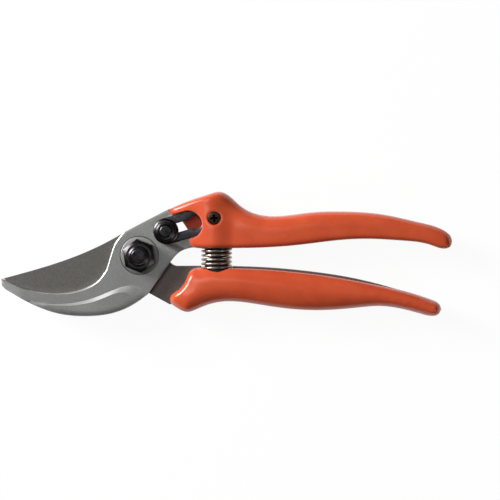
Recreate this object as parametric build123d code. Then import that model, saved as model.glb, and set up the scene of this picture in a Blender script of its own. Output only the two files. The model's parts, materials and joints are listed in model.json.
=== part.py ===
from build123d import *
from math import cos, pi, radians, sin, sqrt, tan
import os

# Bypass pruning shears with a hooked counter-blade, lying flat.
# +X runs along the handles, +Z is the nut side.  The origin is on the pivot
# axis, in the plane that the pivot bolt's head and both rear grips rest on.
# All lengths are in millimetres.

os.makedirs("parts", exist_ok=True)

# ---- pivot stack, from the rear up ----
bolt_head_h = 5.6
bolt_head_r = 8.0
bolt_head_chamfer = 0.7
rear_washer_t = 0.8
rear_washer_r = 7.4
blade_t = 3.5
plate_gap = 0.1
jaw_t = 4.8
tang_step = 1.7
front_washer_t = 1.4
front_washer_r = 9.2
washer_seat_gap = 0.35
shank_r = 4.0
shank_fit = 0.03
bolt_hole_gap = 0.12
bush_wall = 1.5
nut_across_flats = 14.0
nut_h = 6.0
nut_turn = 38.0
nut_chamfer = 0.9
nut_chamfer_angle = 30.0
collar_r = 5.6
collar_h = 0.8
insert_r = 4.9
insert_h = 2.2
insert_lip = 0.4
bolt_end_r = 3.2
bolt_end_proud = 0.3
bolt_end_chamfer_h = 1.0

blade_rear = bolt_head_h + rear_washer_t
blade_front = blade_rear + blade_t
jaw_rear = blade_front + plate_gap
jaw_front = jaw_rear + jaw_t
tang_front = jaw_front - tang_step
nut_top = jaw_front + nut_h
bush_inner_r = shank_r + shank_fit
bush_outer_r = bush_inner_r + bush_wall

# ---- hook, its back rib and the step towards the handle ----
rib_h = 1.2
rib_round = 0.7
inner_bevel = 0.6
ramp_distance = 8.9
ramp_width = 2.4
ramp_angle = 64.0

# ---- blade ----
boss_r = 12.7
shoulder_r = 13.9
shoulder_start = -4.0
shoulder_end = 84.0
edge_bevel_w = 6.0
edge_land = 0.35

# ---- lock ----
lock_past_shoulder = 3.155
lock_angle = 42.172
slide_angle = 15.9
lock_travel = 11.1
lock_engage = 1.2
keyhole_travel = 14.6
stud_neck_r = 2.1
keeper_r = 2.9
keeper_h = 2.4
lock_fit = 0.1
keeper_gap = 0.15
keyhole_gap = 0.25
track_r = 6.4
track_end = 14.8
track_plate_t = 0.8
track_plate_gap = 0.1
knob_r = 6.0
knob_flange_h = 2.2
knob_top_r = 4.9
knob_h = 4.6
knob_recess_r = 3.4
knob_recess_h = 1.0
knob_washer_r = 4.6
knob_washer_t = 0.35
rivet_head_r = 2.6
rivet_head_h = 0.9
knob_seat_gap = 0.05
knob_chamfer = 0.5
notch_gap = 0.2

# ---- grips ----
grip_half = 9.3
grip_flat_x = 50.0
grip_end_thin = 2.4
grip_end_round = 5.0
grip_end_drop = 2.2
station_pitch = 4.0
shell_wall = 3.0
section_power = 2.5
section_steps = 8
core_start_x = 60.0
core_end_x = 105.0
lip_cover = 0.8
crest_x = 31.5
upper_cut_r = 6.55
keeper_groove_gap = 0.4
keeper_groove_depth = 3.4
grip_mid = grip_half
upper_part_plane = (jaw_rear + tang_front) / 2
lower_part_plane = (blade_rear + blade_front) / 2

# ---- grip screws ----
screw_x = 35.5
screw_y = 17.8
screw_head_r = 3.05
screw_head_h = 2.4
screw_shank_r = 1.95
screw_hole_gap = 0.25
screw_sink = 0.3
screw_cross_w = 0.9
screw_cross_r = 1.9
screw_cross_depth = 1.3
insert_outer_r = 3.0
insert_len = 4.4
short_insert_len = 1.9
insert_gap = 0.1
head_recess_gap = 0.1
screw_cross_turn = 5.0
rear_end_x = 20.05
rear_end_y = 15.77
rear_end_angle = 33.9
upper_end_screw = (117.0, 11.4)
lower_screws = [(56.0, -15.2), (112.0, -17.6)]

# ---- return spring, its cups and the bump stops ----
spring_x = 36.5
spring_outer_r = 7.35
wire_r = 0.52
spring_turns = 11
cup_gap = 0.12
cup_wall = 0.45
cup_floor = 0.9
cup_seat_gap = 0.08
upper_cup_rim = 3.1
upper_cup_depth = 8.0
lower_cup_rim = -6.3
lower_cup_depth = 7.4
bumper_r = 5.7
bumper_cone_h = 2.2
upper_bumper_tip_r = 4.4
lower_bumper_tip_r = 3.8
bumper_meet_y = -1.4
bumper_gap = 0.3

lock_x = (shoulder_r + lock_past_shoulder) * cos(radians(lock_angle))
lock_y = (shoulder_r + lock_past_shoulder) * sin(radians(lock_angle))
slide_dir = Vector(cos(radians(slide_angle)), sin(radians(slide_angle)), 0)
cup_outer_r = spring_outer_r + cup_gap + cup_wall
pocket_r = cup_outer_r + cup_seat_gap
upper_cup_top = upper_cup_rim + upper_cup_depth
lower_cup_bottom = lower_cup_rim - lower_cup_depth
track_floor = tang_front - track_plate_t

# How far cutting tools reach past the part.
REACH = 200.0


def slab(face, low, high):
    """The flat outline, extruded from one level to another."""
    return Pos(0, 0, low) * extrude(face, high - low, dir=(0, 0, 1))


def disc(radius, low, high, x=0.0, y=0.0):
    return Pos(x, y, (low + high) / 2) * Cylinder(radius, high - low)


def outline(*edges):
    return Face(Wire(list(edges)))


def along_y(shape, y, x=spring_x, z=grip_mid):
    """Stands a shape built on +Z along +Y, on the spring's axis."""
    return Pos(x, y, z) * Rot(-90, 0, 0) * shape


def slide_point(travel):
    return Vector(lock_x, lock_y, 0) + slide_dir * travel


def slide_slot(radius, start, end, low, high):
    """A straight slot with round ends, along the lock's slide."""
    middle = slide_point((start + end) / 2)
    face = Rot(0, 0, slide_angle) * SlotCenterToCenter(end - start, 2 * radius)
    return slab(Pos(middle.X, middle.Y, 0) * face, low, high)


# ---------------------------------------------------------------- outlines

nib = (-65.6, -11.3)
jaw_start = (-63.6, -12.4)
jaw_kink = (-15.7, -6.9)
shoulder_top = (-7.6, 10.7)
grip_tip = (14.0, 21.9)
tang_tip = (143.0, 6.8)
tang_foot = (24.7, 3.6)
throat = (14.5, -3.4)
heel = (3.9, -18.5)
back_low = (-23.6, -28.9)
back_tip = (-54.9, -21.3)
nib_low = (-65.4, -14.3)
edge_heel = (-13.0, -12.0)
blade_tip = (-65.0, -11.3)
tang_low = (14.1, -23.7)
boss_low = (2.8, -17.5)


def jaw_curve():
    """The hook's cutting side, from its tip to the small kink below the neck."""
    return Spline(jaw_start, (-55.0, -15.4), (-39.0, -17.8), (-26.3, -15.7), (-19.0, -11.2),
                  jaw_kink)


def neck_curve():
    return Spline(jaw_kink, (-13.7, -0.3), (-11.3, 6.0), shoulder_top)


def counter_blade_outline():
    return outline(
        Line(nib, jaw_start),
        jaw_curve(),
        neck_curve(),
        Spline(shoulder_top, (0.4, 14.9), grip_tip),
        Spline(grip_tip, (24.0, 23.2), (36.0, 25.0), (46.0, 19.6), (60.0, 15.0), (95.0, 16.6),
               (125.0, 13.6), tang_tip),
        Spline(tang_tip, (141.0, 5.6), (130.0, 7.4), (109.7, 7.8), (90.0, 6.4), (66.9, 3.6),
               (40.0, 2.8), tang_foot),
        Spline(tang_foot, (19.4, 1.8), throat),
        Line(throat, heel),
        Spline(heel, (-2.7, -23.2), (-14.1, -27.8), back_low, (-40.7, -27.2), back_tip),
        Line(back_tip, (-63.9, -16.0)),
        Line((-63.9, -16.0), nib_low),
        Line(nib_low, nib),
    )


def back_rib_outline():
    """The thick rounded back of the hook, seen from the front."""
    tip_inner = (-47.0, -23.1)
    tip_outer = (-46.4, -24.9)
    wide_end = (-1.5, -17.6)
    return outline(
        Spline(tip_inner, (-40.4, -23.5), (-28.1, -22.5), (-18.6, -19.6), (-9.1, -15.9), wide_end),
        Spline(wide_end, (-4.0, -22.5), (-14.1, -26.9), (-23.6, -28.2), (-40.7, -26.6), tip_outer),
        Line(tip_outer, tip_inner),
    )


def cutting_edge():
    """The blade's edge from heel to tip, which closes just behind the hook."""
    return Spline(edge_heel, (-21.5, -16.8), (-32.0, -20.0), (-43.0, -20.2), (-54.0, -17.8),
                  (-62.0, -13.6), blade_tip)


def blade_outline():
    back_end = (-9.1, 9.75)
    tang_top = (13.6, -2.4)
    tang_corner = (17.6, -5.46)
    tang_end = (138.6, -24.6)
    return outline(
        Spline(blade_tip, (-48.1, -6.7), (-29.9, -0.5), back_end),
        Line(back_end, (0, 0)),
        Line((0, 0), tang_top),
        Spline(tang_top, (15.2, -4.5), tang_corner),
        Spline(tang_corner, (40.0, -5.5), (62.2, -6.3), (81.2, -8.1), (100.2, -11.0),
               (114.4, -14.3), (130.0, -19.6), tang_end),
        Spline(tang_end, (132.0, -25.0), (114.0, -20.8), (86.0, -22.4), (62.0, -20.6),
               (45.0, -18.6), (30.0, -21.0), tang_low),
        Line(tang_low, boss_low),
        Spline(boss_low, (-5.5, -13.6), edge_heel),
        cutting_edge(),
    )


# The long borders of the grips, each running left to right.

def upper_grip_top():
    return Spline((11.0, 20.3), (24.2, 25.9), (33.0, 28.8), (38.4, 29.9), (42.4, 28.0),
                  (47.9, 23.1), (57.4, 18.8), (66.9, 18.3), (81.2, 20.0), (95.4, 20.5),
                  (114.4, 19.3), (133.4, 15.3), (141.5, 13.1), (146.0, 10.8), (148.4, 7.6))


def upper_grip_bottom():
    return Spline((11.0, 3.4), (27.5, 3.4), (40.0, 3.4), (57.4, 3.7), (76.4, 5.1), (95.4, 7.3),
                  (109.7, 7.8), (123.9, 7.0), (138.2, 4.8), (144.9, 3.5), (148.4, 4.6))


def lower_grip_top():
    return Spline((11.0, -6.0), (28.9, -6.0), (57.4, -6.8), (76.4, -8.4), (95.4, -11.0),
                  (114.4, -14.7), (133.4, -19.6), (139.8, -21.8), (143.2, -24.6))


def lower_grip_bottom():
    return Spline((11.0, -20.9), (17.5, -25.2), (22.5, -27.2), (27.0, -25.9), (33.7, -23.3),
                  (43.2, -22.1), (52.7, -23.0), (66.9, -25.2), (85.9, -26.4), (104.9, -25.1),
                  (114.4, -24.5), (123.9, -25.7), (134.0, -28.3), (139.0, -29.4), (143.2, -27.4))


# ------------------------------------------------------- counter-blade half

def ramp_cutter():
    """Takes the handle side of the counter-blade down by the step, over a sloped face."""
    top = jaw_front + rib_h
    section = outline(
        Line((ramp_distance, top), (ramp_distance, jaw_front)),
        Line((ramp_distance, jaw_front), (ramp_distance + ramp_width, tang_front)),
        Line((ramp_distance + ramp_width, tang_front), (REACH, tang_front)),
        Line((REACH, tang_front), (REACH, top)),
        Line((REACH, top), (ramp_distance, top)),
    )
    prism = extrude(Rot(90, 0, 0) * section, REACH, both=True)
    return Rot(0, 0, ramp_angle) * prism


def spring_pocket(low_y, high_y):
    return along_y(Pos(0, 0, (high_y - low_y) / 2) * Cylinder(pocket_r, high_y - low_y), low_y)


def upper_spring_pocket():
    return spring_pocket(upper_cup_rim - REACH, upper_cup_top)


def lower_spring_pocket():
    return spring_pocket(lower_cup_bottom, lower_cup_rim + REACH)


def bevel_cutter(edge, size, level):
    """A square bar on its corner, run along an edge, which leaves a 45 degree bevel."""
    start = edge.position_at(0)
    frame = Plane((start.X, start.Y, level), x_dir=(0, 0, 1), z_dir=edge.tangent_at(0))
    side = size * sqrt(2)
    return sweep(frame * Rot(0, 0, 45) * Rectangle(side, side), path=Pos(0, 0, level) * edge)


def make_counter_blade():
    blade = slab(counter_blade_outline(), jaw_rear, jaw_front)
    for edge in (jaw_curve(), neck_curve()):
        blade -= bevel_cutter(edge, inner_bevel, jaw_front)
    rib = slab(back_rib_outline(), jaw_front, jaw_front + rib_h)
    blade += fillet(rib.faces().sort_by(Axis.Z)[-1].edges(), rib_round)
    blade -= ramp_cutter()
    blade -= disc(shank_r + bolt_hole_gap, 0, REACH)
    blade -= disc(front_washer_r + washer_seat_gap, jaw_front - front_washer_t, REACH)
    blade -= slide_slot(track_r, -lock_engage, track_end, track_floor, REACH)
    blade -= slide_slot(stud_neck_r + lock_fit, -lock_engage, keyhole_travel, 0, REACH)
    blade -= keyhole(keyhole_gap, REACH)
    blade -= upper_spring_pocket()
    for x, y in [(screw_x, screw_y), upper_end_screw]:
        blade -= disc(screw_shank_r + screw_hole_gap, 0, REACH, x, y)
    return blade


def keyhole(gap, top):
    """The wide end of the slot, which the lock stud's rear collar goes in through."""
    middle = slide_point(keyhole_travel)
    return disc(keeper_r + gap, 0, top, middle.X, middle.Y)


def make_pivot_bolt():
    head = disc(bolt_head_r, 0, bolt_head_h)
    head = chamfer(head.edges().filter_by_position(Axis.Z, 0, 0), bolt_head_chamfer)
    end_z = nut_top + collar_h + bolt_end_proud
    shank = disc(shank_r, bolt_head_h, end_z - bolt_end_chamfer_h)
    nose = Pos(0, 0, end_z - bolt_end_chamfer_h / 2) * Cone(shank_r, bolt_end_r, bolt_end_chamfer_h)
    return head + shank + nose


def make_pivot_rear_washer():
    return disc(rear_washer_r, bolt_head_h, blade_rear) - disc(shank_r + bolt_hole_gap, 0, REACH)


def make_pivot_front_washer():
    ring = disc(front_washer_r, jaw_front - front_washer_t, jaw_front)
    return ring - disc(shank_r + bolt_hole_gap, 0, REACH)


def make_pivot_nut():
    flat_r = nut_across_flats / 2
    corner_r = flat_r / cos(radians(30))
    face = Rot(0, 0, nut_turn) * RegularPolygon(corner_r, 6)
    nut = slab(face, jaw_front, nut_top)
    cone_h = (corner_r - flat_r + nut_chamfer) * 2
    cone = Cone(flat_r - nut_chamfer + cone_h / tan(radians(nut_chamfer_angle)),
                flat_r - nut_chamfer, cone_h)
    nut &= Pos(0, 0, nut_top - cone_h / 2) * cone + disc(corner_r + 1, 0, nut_top - cone_h)
    nut += disc(collar_r, nut_top, nut_top + collar_h)
    nut -= disc(shank_r + shank_fit, 0, REACH)
    return nut - disc(insert_r, nut_top + collar_h - insert_h, REACH)


def make_nut_locking_ring():
    ring_top = nut_top + collar_h
    ring = disc(insert_r, ring_top - insert_h, ring_top - insert_lip)
    return ring - disc(shank_r + shank_fit, 0, REACH)


# ------------------------------------------------------------- blade half

def lock_shoulder():
    """A sector of larger radius on the blade's boss, where the lock stud's notch is."""
    sweep = shoulder_end - shoulder_start
    sector = outline(
        Line((0, 0), polar(shoulder_r, shoulder_start)),
        CenterArc((0, 0), shoulder_r, shoulder_start, sweep),
        Line(polar(shoulder_r, shoulder_end), (0, 0)),
    )
    return slab(sector, blade_rear, blade_front)


def polar(radius, angle):
    return (radius * cos(radians(angle)), radius * sin(radians(angle)))


def edge_grind():
    """The wide bevel behind the cutting edge, ground on the blade's rear side only."""
    edge = cutting_edge()
    start = edge.position_at(0)
    tangent = edge.tangent_at(0)
    inward = tangent.cross(Vector(0, 0, 1))
    frame = Plane((start.X, start.Y, blade_rear), x_dir=inward, z_dir=tangent)
    depth = blade_t - edge_land
    past = 1.0
    slope = depth / edge_bevel_w
    wedge = Polygon((edge_bevel_w, 0), (-past, -depth - past * slope), (-past, past),
                    (edge_bevel_w + past / slope, past), align=None)
    return sweep(frame * wedge, path=Pos(0, 0, blade_rear) * edge)


def make_cutting_blade():
    blade = slab(blade_outline(), blade_rear, blade_front) - edge_grind()
    blade += disc(boss_r, blade_rear, blade_front) + lock_shoulder()
    blade -= disc(bush_outer_r, 0, REACH)
    notch = slide_point(-lock_engage)
    blade -= disc(keeper_r + notch_gap, 0, REACH, notch.X, notch.Y)
    blade -= lower_spring_pocket()
    for x, y in lower_screws:
        blade -= disc(screw_shank_r + screw_hole_gap, 0, REACH, x, y)
    return blade


def make_blade_bush():
    return disc(bush_outer_r, blade_rear, blade_front) - disc(bush_inner_r, 0, REACH)


# ------------------------------------------------------------------- lock

def make_lock_track_plate():
    face_gap = track_plate_gap
    plate = slide_slot(track_r - face_gap, -lock_engage, track_end, track_floor, tang_front)
    plate -= slide_slot(stud_neck_r + lock_fit, -lock_engage, keyhole_travel, 0, REACH)
    return plate - keyhole(keyhole_gap, REACH) - upper_spring_pocket()


def lock_levels():
    washer_low = tang_front + knob_seat_gap
    knob_low = washer_low + knob_washer_t
    return washer_low, knob_low, knob_low + knob_h


def make_lock_knob():
    washer_low, knob_low, knob_top = lock_levels()
    knob = disc(knob_r, knob_low, knob_low + knob_flange_h, lock_x, lock_y)
    knob += disc(knob_top_r, knob_low + knob_flange_h, knob_top, lock_x, lock_y)
    rims = knob.edges().filter_by(GeomType.CIRCLE).group_by(Axis.Z)
    knob = chamfer(rims[-1], knob_chamfer)
    knob -= disc(knob_recess_r, knob_top - knob_recess_h, REACH, lock_x, lock_y)
    return knob - disc(stud_neck_r + bolt_hole_gap, 0, REACH, lock_x, lock_y)


def make_lock_stud():
    washer_low, knob_low, knob_top = lock_levels()
    head_low = knob_top - knob_recess_h
    collar_top = jaw_rear - keeper_gap
    stud = disc(keeper_r, collar_top - keeper_h, collar_top, lock_x, lock_y)
    stud += disc(stud_neck_r, collar_top, head_low, lock_x, lock_y)
    return stud + disc(rivet_head_r, head_low, head_low + rivet_head_h, lock_x, lock_y)


def make_lock_spring_washer():
    washer_low, knob_low, knob_top = lock_levels()
    ring = disc(knob_washer_r, washer_low, knob_low, lock_x, lock_y)
    return ring - disc(stud_neck_r + bolt_hole_gap, 0, REACH, lock_x, lock_y)


# ------------------------------------------------------------------ grips

def height_at(curve, x):
    """Y of a border at x, found by halving."""
    near, far = 0.0, 1.0
    while far - near > 1e-6:
        middle = (near + far) / 2
        if curve.position_at(middle).X < x:
            near = middle
        else:
            far = middle
    return curve.position_at(near).Y


def thinning(x, end_x):
    """How far each face of a grip has come in at x, from its thick head to its end."""
    share = max(x - grip_flat_x, 0) / (end_x - grip_flat_x)
    near_end = max(x - (end_x - grip_end_round), 0) / grip_end_round
    return grip_end_thin * share ** 1.3 + grip_end_drop * near_end ** 2


def stations(top, bottom, inset=0.0, start_x=None, stop_x=None):
    """Even steps along a grip: x, lower border, upper border, thickness lost on each face."""
    end_x = top.position_at(1).X
    first = start_x or top.position_at(0).X
    last = stop_x or end_x
    count = max(round((last - first) / station_pitch), 2)
    rows = []
    for step in range(count + 1):
        x = first + (last - first) * step / count
        rows.append((x, height_at(bottom, x) + inset, height_at(top, x) - inset,
                     thinning(x, end_x) + inset))
    return rows


def grip_section(x, low, high, part_plane, face_z):
    """Half of a rounded section, from the parting plane out to the grip's face."""
    middle = (low + high) / 2
    half = (high - low) / 2
    points = []
    for step in range(section_steps + 1):
        angle = pi * step / section_steps
        across = abs(cos(angle)) ** (2 / section_power)
        out = max(sin(angle), 0) ** (2 / section_power)
        side = 1 if step <= section_steps / 2 else -1
        points.append((x, middle + side * half * across, part_plane + (face_z - part_plane) * out))
    crown = Spline(*points, tangents=[(0, 0, face_z - part_plane), (0, 0, part_plane - face_z)])
    return outline(crown, Line(points[-1], points[0]))


def grip_half_solid(rows, part_plane, front):
    sections = []
    for x, low, high, thin in rows:
        face_z = 2 * grip_half - thin if front else thin
        sections.append(grip_section(x, low, high, part_plane, face_z))
    return loft(sections)


def grip_shell(top, bottom, part_plane, front):
    """A half grip, cored out so that its moulded walls are even."""
    core = stations(top, bottom, shell_wall, core_start_x, core_end_x)
    return grip_half_solid(stations(top, bottom), part_plane, front) - grip_half_solid(
        core, part_plane, front)


def upper_front_left():
    """What the front shell leaves open on its left: a lip, the knob's bay and a curved foot."""
    lip = (15.9, 19.3)
    lip_top = (9.9, 25.6)
    bay_foot = (23.5, 8.0)
    foot = (28.2, 3.0)
    face = outline(
        Line((-REACH, REACH), lip_top),
        Line(lip_top, lip),
        Line(lip, (lock_x + 6, lock_y + 2)),
        Line((lock_x + 6, lock_y + 2), bay_foot),
        Spline(bay_foot, (24.6, 4.9), foot),
        Line(foot, (foot[0], -REACH)),
        Line((foot[0], -REACH), (-REACH, -REACH)),
        Line((-REACH, -REACH), (-REACH, REACH)),
    )
    return slab(face, 0, REACH) + slide_slot(upper_cut_r, -REACH, lock_travel, 0, REACH)


def head_slope():
    """What is cut off the front shell's head, which slopes down from its crest to the lip."""
    lip_x = 13.8
    lip_z = tang_front + lip_cover
    rise = (2 * grip_half - lip_z) / (crest_x - lip_x)
    past_x = crest_x + 5.0
    low_z = lip_z - rise * lip_x
    past_z = low_z + rise * past_x
    section = outline(
        Line((0, low_z), (past_x, past_z)),
        Line((past_x, past_z), (0, past_z)),
        Line((0, past_z), (0, low_z)),
    )
    return extrude(Rot(90, 0, 0) * section, REACH, both=True)


def upper_rear_left():
    """Everything left of the rear shell's straight slanted end."""
    return Pos(rear_end_x, rear_end_y, 0) * Rot(0, 0, rear_end_angle) * Pos(-REACH, 0, 0) * Box(
        2 * REACH, 4 * REACH, 4 * REACH)


def lower_left():
    """Everything left of the lower grip's curved end."""
    foot = (29.5, -5.0)
    beak = (22.5, -28.5)
    face = outline(
        Line((foot[0], REACH), foot),
        Spline(foot, (24.6, -6.9), (21.6, -12.4), (18.2, -16.6), (14.3, -20.6), (15.4, -24.2),
               beak),
        Line(beak, (beak[0], -REACH)),
        Line((beak[0], -REACH), (-REACH, -REACH)),
        Line((-REACH, -REACH), (-REACH, REACH)),
        Line((-REACH, REACH), (foot[0], REACH)),
    )
    return slab(face, -REACH, REACH)


def grip_screw(x, y, head_z, tip_z, gap=0.0, cross=True):
    """A countersunk cross-head screw, driven from the front if its head is above its tip."""
    up = 1 if head_z > tip_z else -1
    length = abs(head_z - tip_z)
    cone_low = length - screw_head_h
    shape = Pos(0, 0, cone_low / 2) * Cylinder(screw_shank_r + gap, cone_low)
    shape += Pos(0, 0, length - screw_head_h / 2) * Cone(
        screw_shank_r + gap, screw_head_r + gap, screw_head_h)
    if cross:
        bar = Box(2 * screw_cross_r, screw_cross_w, 2 * screw_cross_depth)
        shape -= Pos(0, 0, length) * bar + Pos(0, 0, length) * Rot(0, 0, 90) * bar
    else:
        shape += Pos(0, 0, length + REACH / 2) * Cylinder(screw_head_r + gap, REACH)
    turn = Rot(0, 0, screw_cross_turn) if up > 0 else Rot(180, 0, screw_cross_turn)
    return Pos(x, y, tip_z) * turn * shape


def screw_hole(x, y, head_z, tip_z):
    return grip_screw(x, y, head_z, tip_z, gap=head_recess_gap, cross=False)


def grip_insert(x, y, low, high):
    return disc(insert_outer_r, low, high, x, y) - disc(screw_shank_r + insert_gap, 0, REACH, x, y)


def insert_seat(x, y, low, high):
    """The hole that an insert sits in, open towards the tang."""
    past = 4 * insert_gap
    return disc(insert_outer_r + insert_gap, low - past, high + past, x, y)


upper_end_x = upper_grip_top().position_at(1).X
lower_end_x = lower_grip_top().position_at(1).X
front_screw = (screw_x, screw_y, 2 * grip_half - screw_sink, jaw_rear - insert_len)
upper_insert = (screw_x, screw_y, jaw_rear - insert_len - insert_gap, jaw_rear - insert_gap)
end_insert = (*upper_end_screw, tang_front + insert_gap, tang_front + insert_gap + short_insert_len)
end_screw = (*upper_end_screw, thinning(upper_end_screw[0], upper_end_x) + screw_sink,
             tang_front + short_insert_len)
lower_inserts = [
    (x, y, blade_front + insert_gap, blade_front + insert_gap + insert_len)
    for x, y in lower_screws
]
lower_screw_places = [
    (x, y, thinning(x, lower_end_x) + screw_sink, blade_front + insert_len)
    for x, y in lower_screws
]


def make_upper_grip_front():
    shell = grip_shell(upper_grip_top(), upper_grip_bottom(), upper_part_plane, True)
    shell -= slab(counter_blade_outline(), 0, tang_front)
    shell -= upper_front_left() + upper_spring_pocket()
    shell -= head_slope()
    return shell - screw_hole(*front_screw) - insert_seat(*end_insert)


def make_upper_grip_rear():
    shell = grip_shell(upper_grip_top(), upper_grip_bottom(), upper_part_plane, False)
    shell -= slab(counter_blade_outline(), jaw_rear, REACH)
    shell -= upper_rear_left() + upper_spring_pocket()
    groove_floor = jaw_rear - keeper_groove_depth
    shell -= slide_slot(keeper_r + keeper_groove_gap, -lock_engage, keyhole_travel,
                        groove_floor, REACH)
    return shell - insert_seat(*upper_insert) - screw_hole(*end_screw)


def make_lower_grip_front():
    shell = grip_shell(lower_grip_top(), lower_grip_bottom(), lower_part_plane, True)
    shell -= slab(blade_outline(), 0, blade_front)
    shell -= lower_left() + lower_spring_pocket()
    for place in lower_inserts:
        shell -= insert_seat(*place)
    return shell


def make_lower_grip_rear():
    shell = grip_shell(lower_grip_top(), lower_grip_bottom(), lower_part_plane, False)
    shell -= slab(blade_outline(), blade_rear, REACH)
    shell -= lower_left() + lower_spring_pocket()
    for place in lower_screw_places:
        shell -= screw_hole(*place)
    return shell


# ----------------------------------------------------------------- spring

def spring_cup(rim, floor_end):
    """A pressed cup on the spring's axis, open at its rim."""
    length = abs(floor_end - rim)
    low = min(rim, floor_end)
    inner_low = low if floor_end > rim else low + cup_floor
    cup = Pos(0, 0, length / 2) * Cylinder(cup_outer_r, length)
    bore = length - cup_floor
    hollow = Pos(0, 0, inner_low - low + bore / 2) * Cylinder(cup_outer_r - cup_wall, bore)
    return along_y(cup - hollow, low)


def make_upper_spring_cup():
    return spring_cup(upper_cup_rim, upper_cup_top)


def make_lower_spring_cup():
    return spring_cup(lower_cup_rim, lower_cup_bottom)


def make_upper_bumper():
    top = upper_cup_top - cup_floor
    tip = bumper_meet_y + bumper_gap / 2
    straight = top - tip - bumper_cone_h
    cone = Pos(0, 0, bumper_cone_h / 2) * Cone(upper_bumper_tip_r, bumper_r, bumper_cone_h)
    body = Pos(0, 0, bumper_cone_h + straight / 2) * Cylinder(bumper_r, straight)
    return along_y(cone + body, tip)


def make_lower_bumper():
    low = lower_cup_bottom + cup_floor
    tip = bumper_meet_y - bumper_gap / 2
    straight = tip - low - bumper_cone_h
    body = Pos(0, 0, straight / 2) * Cylinder(bumper_r, straight)
    cone = Pos(0, 0, straight + bumper_cone_h / 2) * Cone(bumper_r, lower_bumper_tip_r, bumper_cone_h)
    return along_y(body + cone, low)


def make_return_spring():
    low = lower_cup_bottom + cup_floor + wire_r
    high = upper_cup_top - cup_floor - wire_r
    path = Helix((high - low) / spring_turns, high - low, spring_outer_r - wire_r)
    start = Plane(path @ 0, z_dir=path % 0)
    return along_y(sweep(start * Circle(wire_r), path=path, is_frenet=True), low)


def each(maker, places):
    return [maker(*place) for place in places]


nodes = {
    "counter_blade": make_counter_blade(),
    "pivot_bolt": make_pivot_bolt(),
    "pivot_rear_washer": make_pivot_rear_washer(),
    "pivot_front_washer": make_pivot_front_washer(),
    "pivot_nut": make_pivot_nut(),
    "nut_locking_ring": make_nut_locking_ring(),
    "upper_grip_front": make_upper_grip_front(),
    "upper_grip_rear": make_upper_grip_rear(),
    "upper_grip_screw": grip_screw(*front_screw),
    "upper_grip_insert": grip_insert(*upper_insert),
    "upper_end_screw": grip_screw(*end_screw),
    "upper_end_insert": grip_insert(*end_insert),
    "upper_spring_cup": make_upper_spring_cup(),
    "upper_bumper": make_upper_bumper(),
    "lock_track_plate": make_lock_track_plate(),
    "return_spring": make_return_spring(),
    "lock_knob": make_lock_knob(),
    "lock_stud": make_lock_stud(),
    "lock_spring_washer": make_lock_spring_washer(),
    "cutting_blade": make_cutting_blade(),
    "blade_bush": make_blade_bush(),
    "lower_grip_front": make_lower_grip_front(),
    "lower_grip_rear": make_lower_grip_rear(),
    "lower_grip_screws": each(grip_screw, lower_screw_places),
    "lower_grip_inserts": each(grip_insert, lower_inserts),
    "lower_spring_cup": make_lower_spring_cup(),
    "lower_bumper": make_lower_bumper(),
}

for name, shape in nodes.items():
    solids = shape if isinstance(shape, list) else shape.solids()
    solids = [solid for item in solids for solid in item.solids()]
    result = solids[0] if len(solids) == 1 else Compound(children=solids)
    export_step(result, f"parts/{name}.step")
    print(name, len(solids), round(sum(solid.volume for solid in solids), 1))
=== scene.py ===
import json
import math

import bmesh
import bpy
import numpy as np
from mathutils import Euler, Matrix, Vector
from mathutils.geometry import delaunay_2d_cdt


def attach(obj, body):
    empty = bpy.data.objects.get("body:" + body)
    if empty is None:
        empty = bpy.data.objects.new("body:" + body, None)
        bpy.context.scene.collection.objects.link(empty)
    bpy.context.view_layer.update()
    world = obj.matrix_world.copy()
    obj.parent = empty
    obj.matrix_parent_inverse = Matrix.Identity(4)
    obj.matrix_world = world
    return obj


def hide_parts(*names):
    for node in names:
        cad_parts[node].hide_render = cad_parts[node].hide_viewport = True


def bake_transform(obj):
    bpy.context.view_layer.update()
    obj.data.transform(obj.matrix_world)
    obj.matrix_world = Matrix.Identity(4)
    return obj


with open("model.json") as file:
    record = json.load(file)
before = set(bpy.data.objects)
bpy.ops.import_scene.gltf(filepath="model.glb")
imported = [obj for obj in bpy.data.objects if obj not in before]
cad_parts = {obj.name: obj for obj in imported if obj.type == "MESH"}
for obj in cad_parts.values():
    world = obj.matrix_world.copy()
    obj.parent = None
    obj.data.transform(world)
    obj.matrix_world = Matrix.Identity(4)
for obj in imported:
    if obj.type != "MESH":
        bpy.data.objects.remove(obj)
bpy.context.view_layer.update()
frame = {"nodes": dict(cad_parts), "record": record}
nodes = frame["nodes"]
MM = 0.001
COUNTER_BODY = "counter_blade_half"
BLADE_BODY = "cutting_blade_half"
LOCK_BODY = "lock"


# ---- colour and nodes ----

def linear(code):
    """A linear colour from an sRGB hex code."""
    parts = [int(code[i:i + 2], 16) / 255 for i in (1, 3, 5)]
    return [c / 12.92 if c <= 0.04045 else ((c + 0.055) / 1.055) ** 2.4 for c in parts] + [1.0]


def add(material, kind, inputs=(), stops=(), **settings):
    """Adds one node.

    Settings are its attributes; inputs are its sockets' values, or the sockets that feed them.
    A colour ramp also has its stops, each a position and a hex code.
    """
    made = material.node_tree.nodes.new(kind)
    for i, (position, code) in enumerate(stops):
        made.color_ramp.elements[i].position = position
        made.color_ramp.elements[i].color = linear(code)
    for name, value in settings.items():
        setattr(made, name, value)
    for name, value in dict(inputs).items():
        if isinstance(value, bpy.types.NodeSocket):
            material.node_tree.links.new(value, made.inputs[name])
        else:
            made.inputs[name].default_value = value
    return made


def blank(name):
    """A new material without any nodes."""
    material = bpy.data.materials.new(name)
    material.use_nodes = True
    material.node_tree.nodes.clear()
    return material


def per_metre(millimetres):
    """The texture scale that gives a feature of this size."""
    return 1.0 / (millimetres * MM)


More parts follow.
